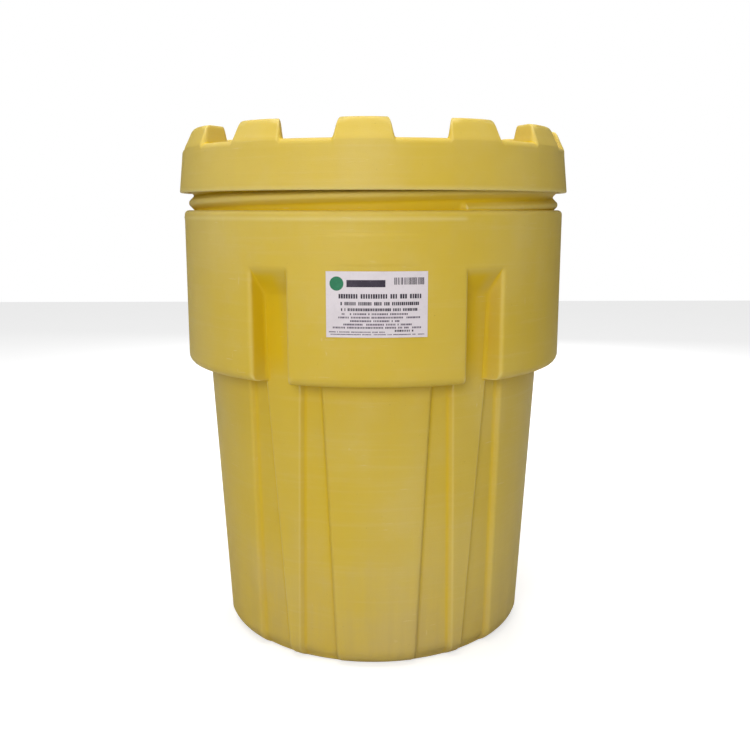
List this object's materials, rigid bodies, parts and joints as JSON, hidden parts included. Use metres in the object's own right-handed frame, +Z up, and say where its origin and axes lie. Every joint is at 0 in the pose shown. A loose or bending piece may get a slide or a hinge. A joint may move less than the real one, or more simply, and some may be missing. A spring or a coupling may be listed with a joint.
{
  "type": "overpack salvage drum",
  "caption": "Wide-mouth yellow polyethylene overpack drum with a banded, ribbed body and a double-wall screw-on lid with grip lugs.",
  "frame": {"origin": "middle of the base, on the floor", "axes": "+Z up along the drum's axis; -Y is the front, with the label"},
  "size_m": [0.8148, 0.8148, 1.054],
  "materials": {
    "drum_poly": "soft satin, slightly translucent moulded polyethylene",
    "lid_poly": "soft satin, slightly translucent moulded polyethylene",
    "gasket_foam": "matt closed-cell foam",
    "label_vinyl": "smooth printed vinyl"
  },
  "bodies": {
    "drum": {"drum_body": "drum_poly", "label": "label_vinyl"},
    "seal": {"lid_gasket": "gasket_foam"},
    "lid": {"lid": "lid_poly"}
  },
  "joints": [
    {"name": "lid_rise", "type": "slide", "parent": "drum", "child": "seal", "axis": [0, 0, 1], "range_m": [0, 0.0676]},
    {"name": "lid_turn", "type": "hinge", "parent": "seal", "child": "lid", "pos_m": [0, 0, 1.018], "axis": [0, 0, 1], "range_deg": [0, 405]}
  ],
  "couplings": [
    {"joint": "lid_rise", "follows": "lid_turn", "m_per_rad": 0.0095493}
  ]
}
